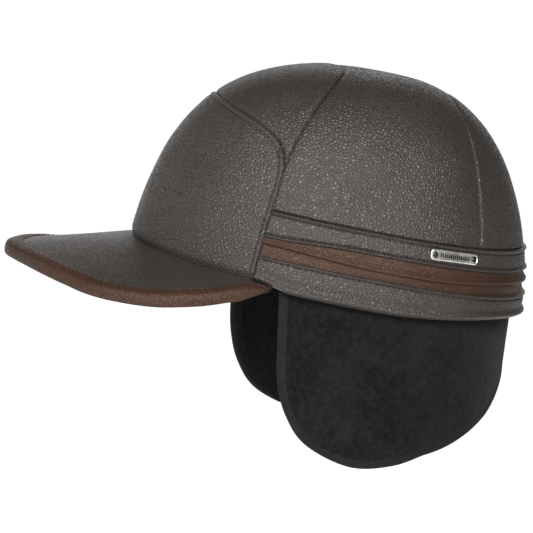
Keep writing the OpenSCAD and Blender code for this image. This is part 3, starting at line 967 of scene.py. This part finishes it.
FLAP_OUT = 5.2 * MM
FLEECE_THICK = 4.0 * MM
FLAP_TOP = 8 * MM
FLAP_DEPTH = 0.55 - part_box("left_flap_outer")[0].z / MM
EAR_REAR_TOP = 36
EAR_REAR_LOW = 22
NECK_DEPTH = 24
LEAN = 0.03
SWEEP = 0.11
DEGREE = 1.42
CORNER = 0.52
TAPE_WIDTH = 4.0
EAR_EDGE = np.array(
    [
        (-37.5, 8), (-36.7, -12), (-36, -33), (-34.9, -53), (-31.2, -0.78 * FLAP_DEPTH),
        (-23.5, -0.925 * FLAP_DEPTH), (-7, -FLAP_DEPTH), (9, -0.955 * FLAP_DEPTH),
        (EAR_REAR_LOW, 12 - FLAP_DEPTH),
    ]
)
NECK_EDGE = np.array(
    [
        (EAR_REAR_LOW, 12 - FLAP_DEPTH), (30, -72.3), (38, -67), (46, -61), (54, -54.5),
        (62, -46.5), (71, -37.5), (80, mix(-NECK_DEPTH, -37.5, 0.4)), (90, -NECK_DEPTH),
    ]
)


def strip_point(a, depth):
    """A point of the strip from its direction and height in millimetres."""
    z = a[..., 1] * MM
    drop = np.maximum(0, -z)
    flat = at_height_deep(a[..., 0], np.maximum(0, z), depth + LEAN * drop)
    return flat + drop[..., None] * np.array((0, SWEEP, -1))


def at_height_deep(turn, z, depth):
    """at_height for a depth that changes from point to point."""
    near, far = at_height(turn, z, 0.0), at_height(turn, z, 10 * MM)
    return mix(near, far, (depth / (10 * MM))[..., None])


def inset(points, t, by):
    """A point of an outline, moved inward by a distance in millimetres."""
    step = 0.01
    d = along(points, t + step) - along(points, t - step)
    n = np.stack([-d[..., 1], d[..., 0] * DEGREE], -1)
    n = n / np.hypot(d[..., 0] * DEGREE, d[..., 1])[..., None]
    return along(points, t) + np.asarray(by)[..., None] * n / np.array((DEGREE, 1.0))


def ear_point(u, v, by=0.0):
    front = inset(EAR_EDGE, CORNER * v, by)
    low = inset(EAR_EDGE, mix(CORNER, 1, u), by)
    top_front = inset(EAR_EDGE, 0 * u, by)
    top_rear = np.array((EAR_REAR_TOP, FLAP_TOP / MM)) + 0 * top_front
    low_front = inset(EAR_EDGE, CORNER + 0 * u, by)
    low_rear = inset(EAR_EDGE, 1 + 0 * u, by)
    u, v = u[..., None], v[..., None]
    rear = mix(top_rear, low_rear, v)
    top = mix(top_front, top_rear, u)
    corners = mix(top, mix(low_front, low_rear, u), v)
    return mix(front, rear, u) + mix(top, low, v) - corners


def neck_point(u, v, by=0.0):
    low = inset(NECK_EDGE, u, by)
    top = np.stack([mix(EAR_REAR_TOP, 90, u), FLAP_TOP / MM + 0 * u], -1)
    return mix(top, low, v[..., None])


def strip_waves(p, seed=21):
    """Slack in the hanging cloth, which grows toward its free edge. It is the same on both sides
    of the line where the ear flap meets the neck guard."""
    free = ramp(0, -80 * MM, p[..., 2])
    return (1.5 * MM * wander(p, 46 * MM, seed) + 0.5 * MM * wander(p, 17 * MM, seed + 1)) * free


def cloth_sides(a, to_edge, side):
    """Outer and inner grids of the fleece. to_edge is the distance from the taped edge."""
    mid = strip_point(a, FLAP_OUT + FLEECE_THICK / 2)
    inward = strip_point(a, FLAP_OUT + FLEECE_THICK / 2 + 1 * MM) - mid
    inward = unit(inward)
    mid = mid - inward * strip_waves(mid)[..., None]
    full = FLEECE_THICK / 2 * (1 - 0.35 * (1 - ramp(0, 7, to_edge)))
    if side < 0:
        mid, inward = mid * np.array((-1, 1, 1)), inward * np.array((-1, 1, 1))
    return mid - inward * full[..., None], mid + inward * full[..., None]


def outline_distance(a, points):
    """Distance in millimetres, along the cloth, from an outline."""
    line = along(points, np.linspace(0, 1, 500)) * np.array((DEGREE, 1.0))
    flat = a.reshape(-1, 2) * np.array((DEGREE, 1.0))
    nearest = [np.min(np.hypot(*(line - p).T)) for p in flat]
    return np.array(nearest).reshape(a.shape[:-1])


def tape_channel(points, start, end, count):
    """Grids of the tape folded over an edge of the strip: its outside and its inside."""
    t = np.linspace(start, end, count)
    half = FLEECE_THICK / 2 * 0.72
    shape = [(TAPE_WIDTH, -0.35), (TAPE_WIDTH * 0.92, 0.42), (TAPE_WIDTH * 0.7, 0.28),
             (TAPE_WIDTH * 0.45, 0.62), (TAPE_WIDTH * 0.2, 0.62)]
    rows = [(by, -(half + out * MM)) for by, out in shape]
    for a in np.radians(np.linspace(-70, 70, 6)):
        rows.append((-1.0 * math.cos(a), (half + 0.4 * MM) * math.sin(a)))
    rows += [(by, half + out * MM) for by, out in shape[::-1]]
    outer = []
    for by, level in rows:
        a = inset(points, t, by + 0 * t)
        middle = strip_point(inset(points, t, np.maximum(by, 0) + 0 * t), FLAP_OUT + FLEECE_THICK / 2)
        p = strip_point(a, FLAP_OUT + FLEECE_THICK / 2)
        inward = unit(strip_point(a, FLAP_OUT + FLEECE_THICK / 2 + 1 * MM) - p)
        pucker = 0.08 * MM * np.sin(np.arange(count) * 2 * np.pi / 4.5)
        wave = strip_waves(middle)
        outer.append(p + inward * (level + np.sign(level) * pucker - wave)[:, None])
    outer = np.stack(outer, 1)
    spine = outer.mean(axis=1, keepdims=True)
    inner = mix(outer, spine, 0.14)
    return outer, inner


def reflect(grid, side):
    return grid if side > 0 else grid * np.array((-1, 1, 1))


def make_cloth(side, name, grid, outline):
    a = grid
    outer, inner = cloth_sides(a, outline_distance(a, outline), side)
    return slab(name, outer, inner, FLEECE, flip=side < 0, smooth_angle=60)


def tape_rows(side, name, points, start, end):
    """Stitches of the edge tape, on its outer and its inner face."""
    t = np.linspace(start, end, 260)
    a = inset(points, t, TAPE_WIDTH * 0.74 + 0 * t)
    mid = strip_point(a, FLAP_OUT + FLEECE_THICK / 2)
    inward = unit(strip_point(a, FLAP_OUT + FLEECE_THICK / 2 + 1 * MM) - mid)
    mid = mid - inward * strip_waves(mid)[:, None]
    half = FLEECE_THICK / 2 * 0.72 + 0.34 * MM
    rows = []
    for face, word in ((-1, "outer"), (1, "inner")):
        path = reflect(mid + inward * half * face, side)
        rows.append(stitches(f"{name}_{word}", path, reflect(inward * face, side), BLACK_THREAD,
                             radius=0.2 * MM))
    return rows


def make_ear_flap(side):
    word = "left" if side > 0 else "right"
    u, v = np.meshgrid(np.linspace(0, 1, 110), np.linspace(0, 1, 100), indexing="ij")
    cloth = make_cloth(side, f"{word}_ear_fleece", ear_point(u, v, 0.5), EAR_EDGE)
    outer, inner = tape_channel(EAR_EDGE, 0.02, 1.0, 420)
    tape = slab(f"{word}_ear_tape", reflect(outer, side), reflect(inner, side), TAPE,
                flip=side > 0)
    rows = tape_rows(side, f"{word}_ear_stitches", EAR_EDGE, 0.05, 0.995)
    for obj, slot in [(cloth, "fleece"), (tape, "edge_tape"), *[(r, "edge_tape") for r in rows]]:
        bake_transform(obj)
    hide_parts(f"{word}_flap_outer", f"{word}_flap_inner")
    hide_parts(f"{word}_flap_binding")


def make_neck_guard(side):
    word = "left" if side > 0 else "right"
    u, v = np.meshgrid(np.linspace(0, 1, 90), np.linspace(0, 1, 80), indexing="ij")
    cloth = make_cloth(side, f"{word}_neck_fleece", neck_point(u, v, 0.5), NECK_EDGE)
    outer, inner = tape_channel(NECK_EDGE, 0.0, 1.0, 260)
    tape = slab(f"{word}_neck_tape", reflect(outer, side), reflect(inner, side), TAPE,
                flip=side > 0)
    rows = tape_rows(side, f"{word}_neck_stitches", NECK_EDGE, 0.005, 0.995)
    piece(cloth, "cap", "fleece", f"{word}_neck_outer", f"{word}_neck_inner")
    piece(tape, "cap", "edge_tape", f"{word}_neck_binding")
    for row in rows:
        piece(row, "cap", "edge_tape")
    for obj in (cloth, tape, *rows):
        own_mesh(obj)


# ---------------------------------------------------------------- inside

LINING_DEPTH = 3.1 * MM
QUILT = 24 * MM


def make_lining():
    """Quilted dome. Its grid is a square drawn out to a disc."""
    cells = 150
    x, y = np.meshgrid(np.linspace(-1, 1, cells), np.linspace(-1, 1, cells), indexing="ij")
    reach = np.maximum(np.abs(x), np.abs(y))
    turn = np.degrees(np.arctan2(y, x))
    low = climb(at_height(turn, BAND_TOP - 2.5 * MM))
    base = on_crown(toward(turn, mix(90, low, reach)), LINING_DEPTH)
    arc = 0.115 * reach
    flat_x, flat_y = arc * np.cos(np.radians(turn)), arc * np.sin(np.radians(turn))
    lines = []
    for sign in (1, -1):
        lines.append(np.abs(np.sin(np.pi * (flat_x + sign * flat_y) / QUILT)))
    puff = 1.1 * MM * np.minimum(*lines) ** 0.6
    normal = crown_normal(base)
    inner = base - normal * (0.9 * MM + puff)[..., None]
    piece(slab("crown_lining_quilt", base, inner, SATIN), "cap", "satin_lining", "crown_lining")


def make_sweatband():
    turn, share = np.meshgrid(np.arange(0, 360, 1.0), edge_dense(36), indexing="ij")
    top = BAND_TOP - 4 * MM
    z = mix(0.3 * MM, top, share)
    outer = at_height(turn, z, SWEATBAND_DEPTH)
    height = share * top
    lift = 1.1 * MM + 0.45 * MM * bump(height, 1.2 * MM, 1.2 * MM)
    lift = lift - 0.4 * MM * bump(top - height, 3 * MM, 0.8 * MM) - 0.6 * MM * bump(top - height, 0, 1 * MM)
    inner = outer - crown_normal(outer) * lift[..., None]
    piece(slab("sweatband_leather", outer, inner, SWEATBAND_LEATHER, closed=True), "cap",
          "sweatband_leather", "sweatband")
    turns = np.arange(0, 360, 0.8)
    row = at_height(turns, top - 3 * MM, SWEATBAND_DEPTH + 0.85 * MM)
    normal = -crown_normal(row)
    piece(stitches("sweatband_stitches", row, normal, BLACK_THREAD), "cap", "sweatband_leather")


def make_label():
    """Blank woven label at the centre back, drawn as a single slab on the sweatband."""
    turn, z = np.meshgrid(np.linspace(82, 98, 40), np.linspace(13.5, 26.5, 24) * MM, indexing="ij")
    lift = 4.75 * MM + 0.25 * MM * wander(np.stack([turn * MM, z, z], -1), 9 * MM, 31)
    outer = at_height_deep(turn, z, lift - 0.3 * MM)
    inner = at_height_deep(turn, z, lift + 0.35 * MM)
    piece(slab("size_label_cloth", outer, inner, LABEL), "cap", "label_cloth", "size_label")


# ---------------------------------------------------------------- badge and hidden parts

BADGE_TURN = 21.5
BADGE_LEVEL = 30.5 * MM
BADGE_LENGTH = 29.8 * MM
BADGE_HEIGHT = 5.6 * MM


def badge_place(s, h, lift):
    """A point on the band around the badge's centre: s along it, h up it, lift outward."""
    radius = CROWN_SIDE
    turn = BADGE_TURN + np.degrees(s / radius)
    flat = at_height(turn, BADGE_LEVEL + h)
    return flat + crown_normal(flat) * np.asarray(lift)[..., None]


def capsule_rings(scale_in, lift, count=72):
    """One ring of points around the badge's outline, drawn in by scale_in."""
    a = np.linspace(0, 2 * np.pi, count, endpoint=False)
    r = BADGE_HEIGHT / 2 - scale_in
    straight = (BADGE_LENGTH - BADGE_HEIGHT) / 2
    s = straight * np.sign(np.cos(a)) + r * np.sign(np.cos(a)) * np.abs(np.cos(a)) ** 0.7
    h = r * np.sign(np.sin(a)) * np.abs(np.sin(a)) ** 0.7
    return badge_place(s, h, lift + 0 * a)


def fan_stack(name, rings, material):
    """Rings joined in order and closed at both ends."""
    count = len(rings[0])
    vertices = np.concatenate(rings)
    faces = []
    for r in range(len(rings) - 1):
        for k in range(count):
            a, b = r * count + k, r * count + (k + 1) % count
            faces.append((a, b, b + count, a + count))
    faces.append(tuple(range(count))[::-1])
    faces.append(tuple((len(rings) - 1) * count + k for k in range(count)))
    return new_object(name, vertices, faces, material, 35)


def disc_rings(centre, shape):
    """Rings of a small turned piece standing on the badge: shape is (radius, lift) pairs."""
    a = np.linspace(0, 2 * np.pi, 28, endpoint=False)
    return [badge_place(centre + r * np.cos(a), r * np.sin(a), lift + 0 * a) for r, lift in shape]


def make_badge():
    base = 1.2 * MM
    steps = [(0, 0), (0, 0.65), (0.25, 0.9), (0.55, 0.95), (0.75, 0.78), (1.2, 0.78)]
    rings = [capsule_rings(inset_mm * MM, base + lift * MM) for inset_mm, lift in steps]
    piece(fan_stack("badge_plate_metal", rings, METAL), "cap", "badge_metal", "badge_plate")
    for k, sign in enumerate((-1, 1)):
        centre = sign * (BADGE_LENGTH / 2 - 2.6 * MM)
        shape = [(1.45, 0.7), (1.45, 1.0), (1.1, 1.35), (0.55, 1.5)]
        rivet = fan_stack(f"badge_rivet_{k}", disc_rings(centre, [(r * MM, base + z * MM) for r, z in shape]),
                          DARK_METAL)
        nodes = ["badge_rivets"] if k == 0 else []
        piece(rivet, "cap", "badge_metal", *nodes)
    bars = []
    for k in range(-7, 8):
        centre = k * 1.25 * MM
        tall = (1.25 if k % 2 else 0.85) * MM
        s = np.array((-0.24, 0.24, 0.24, -0.24)) * MM + centre
        h = np.array((-1, -1, 1, 1)) * tall
        top = badge_place(s, h, base + 0.86 * MM + 0 * s)
        low = badge_place(s, h, base + 0.5 * MM + 0 * s)
        faces = [(0, 1, 2, 3), (7, 6, 5, 4), (0, 4, 5, 1), (1, 5, 6, 2), (2, 6, 7, 3), (3, 7, 4, 0)]
        bars.append((np.concatenate([top, low]), faces))
    piece(join_parts("badge_hatching", bars, DARK_METAL), "cap", "badge_metal")


def paint_hidden_nodes():
    for node, material in (
        ("band_interlining", FELT),
        ("front_stiffener", FELT),
        ("brim_board", BOARD),
    ):
        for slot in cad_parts[node].material_slots:
            slot.material = material


# ---------------------------------------------------------------- stage, light and camera

CAMERA_AZIMUTH = 78
CAMERA_ELEVATION = 8
CAMERA_ROLL = 12.2
CAMERA_DISTANCE = 3.0
FRAME_WIDTH = 0.2866
AIM_RIGHT = 0.0319
AIM_UP = -0.0022


def camera_axes():
    """The camera's right, up and back directions."""
    a, e, r = (math.radians(x) for x in (CAMERA_AZIMUTH, CAMERA_ELEVATION, CAMERA_ROLL))
    back = Vector((math.sin(a) * math.cos(e), -math.cos(a) * math.cos(e), math.sin(e)))
    right = Vector((0, 0, 1)).cross(back).normalized()
    up = back.cross(right)
    return (
        math.cos(r) * right + math.sin(r) * up,
        math.cos(r) * up - math.sin(r) * right,
        back,
    )


def make_camera():
    right, up, back = camera_axes()
    data = bpy.data.cameras.new("camera")
    data.sensor_width = 36
    data.lens = 36 * CAMERA_DISTANCE / FRAME_WIDTH
    data.clip_end = 20
    camera = bpy.data.objects.new("camera", data)
    place = back * CAMERA_DISTANCE - right * AIM_RIGHT - up * AIM_UP
    turn = Matrix((right, up, back)).transposed().to_4x4()
    camera.matrix_world = Matrix.Translation(place) @ turn
    bpy.context.scene.collection.objects.link(camera)
    bpy.context.scene.camera = camera


def make_light(name, place, target, size, power):
    data = bpy.data.lights.new(name, "AREA")
    data.shape = "DISK"
    data.size = size
    data.energy = power
    light = bpy.data.objects.new(name, data)
    light.location = place
    light.rotation_euler = (Vector(target) - Vector(place)).to_track_quat("-Z", "Y").to_euler()
    bpy.context.scene.collection.objects.link(light)


def make_stage():
    floor_material = bpy.data.materials.new("floor")
    floor_material.use_nodes = True
    shader = floor_material.node_tree.nodes["Principled BSDF"]
    shader.inputs["Base Color"].default_value = (0.9, 0.9, 0.9, 1)
    shader.inputs["Roughness"].default_value = 0.9
    shader.inputs["Emission Color"].default_value = (1, 1, 1, 1)
    shader.inputs["Emission Strength"].default_value = 0.85
    mesh = bpy.data.meshes.new("floor")
    half, level = 60.0, -0.45
    mesh.from_pydata(
        [(-half, -half, level), (half, -half, level), (half, half, level), (-half, half, level)],
        [], [(0, 1, 2, 3)],
    )
    mesh.materials.append(floor_material)
    floor = bpy.data.objects.new("floor", mesh)
    bpy.context.scene.collection.objects.link(floor)
    world = bpy.data.worlds.new("studio")
    world.use_nodes = True
    world.node_tree.nodes["Background"].inputs["Color"].default_value = (1, 1, 1, 1)
    world.node_tree.nodes["Background"].inputs["Strength"].default_value = 0.2
    bpy.context.scene.world = world
    right, up, back = camera_axes()
    middle = Vector((0, 0, 0.03))
    make_light("key", middle + back * 1.1 + up * 0.4 + right * 0.1, middle, 0.4, 29)
    make_light("fill", middle + back * 0.8 - right * 1.0 + up * 0.15, middle, 0.6, 5)
    make_light("rim", middle - back * 0.7 - right * 1.1 + up * 0.6, middle, 0.6, 1.5)
    make_light("back", middle - back * 1.2 + up * 0.3, middle, 1.0, 6)
    bpy.context.scene.view_settings.view_transform = "Standard"


make_camera()
make_front_panel()
make_upper_front_panel()
make_top_side_panel()
make_back_panel()
make_band()
make_brim()
for flap_side in (1, -1):
    make_ear_flap(flap_side)
    make_neck_guard(flap_side)
make_lining()
make_sweatband()
make_label()
make_badge()
paint_hidden_nodes()
make_stage()


def corners(box):
    return [[float(x) for x in corner] for corner in box]
